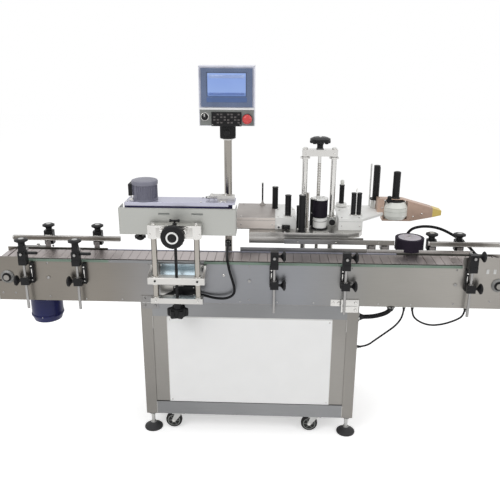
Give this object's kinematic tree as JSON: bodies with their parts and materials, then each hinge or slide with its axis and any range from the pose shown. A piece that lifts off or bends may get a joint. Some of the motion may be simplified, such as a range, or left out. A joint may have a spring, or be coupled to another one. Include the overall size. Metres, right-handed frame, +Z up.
{
  "type": "wrap around labeling machine",
  "caption": "Wrap around labeling machine: slat conveyor on a steel cabinet, with a wrap belt unit, a label head on a screw stand and a touch panel on a mast.",
  "frame": {"origin": "on the floor, under the middle of the machine's box", "axes": "+X along the conveyor to the right of an operator at the front, +Y away from the operator, +Z up"},
  "size_m": [2.2954, 0.6925, 1.653],
  "materials": {
    "stainless": "brushed",
    "chrome": "polished",
    "slats": "satin",
    "green_plastic": "matte",
    "black_plastic": "matte",
    "black_cable": "matte",
    "white_board": "gloss",
    "blue_paint": "gloss",
    "motor_paint": "satin",
    "grey_casting": "satin",
    "white_paint": "satin",
    "panel_paint": "satin",
    "bezel": "gloss",
    "red_plastic": "gloss",
    "navy_belt": "matte",
    "tan_plate": "satin",
    "foot_rubber": "matte",
    "caster_tyre": "matte",
    "galvanised": "satin"
  },
  "bodies": {
    "frame": {"cabinet_frame": "stainless", "cabinet_panels": "stainless", "sign_board": "white_board", "leveling_feet": "foot_rubber", "front_side_plate": "stainless", "back_side_plate": "stainless", "conveyor_hardware": "chrome", "wear_strips": "green_plastic", "slat_chain": "slats", "drive_gearbox": "grey_casting", "drive_motor": "blue_paint", "bracket_clamps": "black_plastic", "guide_posts": "stainless", "panel_mast": "chrome", "label_stand": "chrome", "wrap_bracket": "stainless", "electrical_panel": "galvanised", "separator_cable": "black_cable", "cable_bundle": "black_cable", "drop_cable": "black_cable", "loop_cable": "black_cable", "wrap_cable": "black_cable"},
    "wrap_lift": {"wrap_lift": "stainless"},
    "wrap_carriage": {"wrap_carriage": "stainless", "wrap_cover": "stainless", "wrap_belt": "navy_belt"},
    "label_head": {"label_base": "white_paint", "label_deck": "white_paint", "unwind_arm": "tan_plate", "unwind_hub": "white_paint"},
    "panel_box": {"panel_box": "panel_paint", "touch_screen": "bezel"},
    "drive_shaft": {"drive_shaft": "stainless"},
    "idler_shaft": {"idler_shaft": "stainless"},
    "rear_door": {"rear_door": "stainless"},
    "door_latch": {"door_latch": "black_plastic"},
    "lift_star_knob": {"lift_star_knob": "black_plastic"},
    "depth_knob": {"depth_knob": "black_plastic"},
    "wrap_drive_pulley": {"wrap_drive_pulley": "galvanised"},
    "wrap_idler_pulley": {"wrap_idler_pulley": "galvanised"},
    "lift_handwheel": {"lift_handwheel": "black_plastic"},
    "drive_drum": {"drive_drum": "black_plastic"},
    "nip_roller": {"nip_roller": "black_plastic"},
    "tall_roller": {"tall_roller": "black_plastic"},
    "infeed_roller": {"infeed_roller": "black_plastic"},
    "rewind_spindle": {"rewind_spindle": "black_plastic"},
    "unwind_spindle": {"unwind_spindle": "black_plastic"},
    "stop_button": {"stop_button": "red_plastic"},
    "selector_switch": {"selector_switch": "black_plastic"},
    "separator_wheel": {"separator_wheel": "black_plastic"},
    "left_guide_rail": {"left_guide_rail": "stainless"},
    "right_guide_rail": {"right_guide_rail": "stainless"},
    "caster_fork_front_left": {"caster_fork_front_left": "galvanised"},
    "caster_wheel_front_left": {"caster_wheel_front_left": "caster_tyre"},
    "caster_fork_front_right": {"caster_fork_front_right": "galvanised"},
    "caster_wheel_front_right": {"caster_wheel_front_right": "caster_tyre"},
    "caster_fork_rear_left": {"caster_fork_rear_left": "galvanised"},
    "caster_wheel_rear_left": {"caster_wheel_rear_left": "caster_tyre"},
    "caster_fork_rear_right": {"caster_fork_rear_right": "galvanised"},
    "caster_wheel_rear_right": {"caster_wheel_rear_right": "caster_tyre"}
  },
  "joints": [
    {"name": "caster_swivel_front_left", "type": "hinge", "parent": "frame", "child": "caster_fork_front_left", "pos_m": [-0.332, -0.1565, 0.08], "axis": [0, 0, 1], "continuous": true},
    {"name": "caster_roll_front_left", "type": "hinge", "parent": "caster_fork_front_left", "child": "caster_wheel_front_left", "pos_m": [-0.357, -0.1565, 0.041], "axis": [0, 1, 0], "continuous": true},
    {"name": "caster_swivel_front_right", "type": "hinge", "parent": "frame", "child": "caster_fork_front_right", "pos_m": [0.308, -0.1565, 0.08], "axis": [0, 0, 1], "continuous": true},
    {"name": "caster_roll_front_right", "type": "hinge", "parent": "caster_fork_front_right", "child": "caster_wheel_front_right", "pos_m": [0.283, -0.1565, 0.041], "axis": [0, 1, 0], "continuous": true},
    {"name": "caster_swivel_rear_left", "type": "hinge", "parent": "frame", "child": "caster_fork_rear_left", "pos_m": [-0.332, 0.2835, 0.08], "axis": [0, 0, 1], "continuous": true},
    {"name": "caster_roll_rear_left", "type": "hinge", "parent": "caster_fork_rear_left", "child": "caster_wheel_rear_left", "pos_m": [-0.357, 0.2835, 0.041], "axis": [0, 1, 0], "continuous": true},
    {"name": "caster_swivel_rear_right", "type": "hinge", "parent": "frame", "child": "caster_fork_rear_right", "pos_m": [0.308, 0.2835, 0.08], "axis": [0, 0, 1], "continuous": true},
    {"name": "caster_roll_rear_right", "type": "hinge", "parent": "caster_fork_rear_right", "child": "caster_wheel_rear_right", "pos_m": [0.283, 0.2835, 0.041], "axis": [0, 1, 0], "continuous": true},
    {"name": "drive_shaft_turn", "type": "hinge", "parent": "frame", "child": "drive_shaft", "pos_m": [-1.062, -0.1865, 0.766], "axis": [0, 1, 0], "continuous": true},
    {"name": "idler_shaft_turn", "type": "hinge", "parent": "frame", "child": "idler_shaft", "pos_m": [1.062, -0.1865, 0.766], "axis": [0, 1, 0], "continuous": true},
    {"name": "rear_door_hinge", "type": "hinge", "parent": "frame", "child": "rear_door", "pos_m": [0.446, 0.323, 0.213], "axis": [0, 0, -1], "range_deg": [0, 110]},
    {"name": "door_latch_turn", "type": "hinge", "parent": "rear_door", "child": "door_latch", "pos_m": [-0.405, 0.314, 0.373], "axis": [0, 1, 0], "range_deg": [0, 90]},
    {"name": "wrap_lift_slide", "type": "slide", "parent": "frame", "child": "wrap_lift", "axis": [0, 0, 1], "range_m": [-0.08, 0.045]},
    {"name": "lift_star_knob_turn", "type": "hinge", "parent": "wrap_lift", "child": "lift_star_knob", "pos_m": [-0.303, -0.2665, 0.695], "axis": [0, 0, 1], "range_deg": [-5160, 3060]},
    {"name": "wrap_depth_slide", "type": "slide", "parent": "wrap_lift", "child": "wrap_carriage", "axis": [0, 1, 0], "range_m": [-0.006, 0.03]},
    {"name": "depth_knob_turn", "type": "hinge", "parent": "wrap_carriage", "child": "depth_knob", "pos_m": [-0.303, -0.2665, 1.006], "axis": [0, -1, 0], "range_deg": [-720, 2160]},
    {"name": "wrap_drive_pulley_turn", "type": "hinge", "parent": "wrap_carriage", "child": "wrap_drive_pulley", "pos_m": [-0.486, -0.1745, 1.001], "axis": [0, 0, 1], "continuous": true},
    {"name": "wrap_idler_pulley_turn", "type": "hinge", "parent": "wrap_carriage", "child": "wrap_idler_pulley", "pos_m": [-0.113, -0.1745, 1.001], "axis": [0, 0, 1], "continuous": true},
    {"name": "label_lift_slide", "type": "slide", "parent": "frame", "child": "label_head", "axis": [0, 0, 1], "range_m": [-0.03, 0.08]},
    {"name": "lift_handwheel_turn", "type": "hinge", "parent": "frame", "child": "lift_handwheel", "pos_m": [0.306, 0.1535, 1.282], "axis": [0, 0, 1], "range_deg": [-2520, 6120]},
    {"name": "drive_drum_turn", "type": "hinge", "parent": "label_head", "child": "drive_drum", "pos_m": [0.313, 0.0975, 0.979], "axis": [0, 0, 1], "continuous": true},
    {"name": "nip_roller_turn", "type": "hinge", "parent": "label_head", "child": "nip_roller", "pos_m": [0.27713, 0.11992, 0.925], "axis": [0, 0, 1], "continuous": true},
    {"name": "tall_roller_turn", "type": "hinge", "parent": "label_head", "child": "tall_roller", "pos_m": [0.228, 0.0285, 0.925], "axis": [0, 0, 1], "continuous": true},
    {"name": "infeed_roller_turn", "type": "hinge", "parent": "label_head", "child": "infeed_roller", "pos_m": [0.106, 0.2305, 0.98], "axis": [0, 0, 1], "continuous": true},
    {"name": "rewind_spindle_turn", "type": "hinge", "parent": "label_head", "child": "rewind_spindle", "pos_m": [0.589, 0.2665, 0.98], "axis": [0, 0, 1], "continuous": true},
    {"name": "unwind_spindle_turn", "type": "hinge", "parent": "label_head", "child": "unwind_spindle", "pos_m": [0.676, 0.2135, 0.968], "axis": [0, 0, 1], "continuous": true},
    {"name": "panel_box_swivel", "type": "hinge", "parent": "frame", "child": "panel_box", "pos_m": [-0.103, 0.0085, 1.409], "axis": [0, 0, 1], "range_deg": [-60, 60]},
    {"name": "stop_button_press", "type": "slide", "parent": "panel_box", "child": "stop_button", "axis": [0, 1, 0], "range_m": [0, 0.004], "stiffness_N_per_m": 2000},
    {"name": "selector_switch_turn", "type": "hinge", "parent": "panel_box", "child": "selector_switch", "pos_m": [-0.196, -0.0365, 1.447], "axis": [0, -1, 0], "range_deg": [0, 90]},
    {"name": "separator_wheel_turn", "type": "hinge", "parent": "frame", "child": "separator_wheel", "pos_m": [0.716, 0.0185, 0.85], "axis": [0, 0, 1], "continuous": true},
    {"name": "left_rail_slide", "type": "slide", "parent": "frame", "child": "left_guide_rail", "axis": [0, 1, 0], "range_m": [-0.007, 0.025]},
    {"name": "right_rail_slide", "type": "slide", "parent": "frame", "child": "right_guide_rail", "axis": [0, 1, 0], "range_m": [-0.007, 0.025]}
  ],
  "couplings": [
    {"joint": "idler_shaft_turn", "follows": "drive_shaft_turn", "ratio": 1},
    {"joint": "lift_star_knob_turn", "follows": "wrap_lift_slide", "rad_per_m": 1047.2},
    {"joint": "depth_knob_turn", "follows": "wrap_depth_slide", "rad_per_m": 1047.2},
    {"joint": "wrap_idler_pulley_turn", "follows": "wrap_drive_pulley_turn", "ratio": 1},
    {"joint": "lift_handwheel_turn", "follows": "label_lift_slide", "rad_per_m": 1256.6},
    {"joint": "nip_roller_turn", "follows": "drive_drum_turn", "ratio": -3.6667}
  ]
}
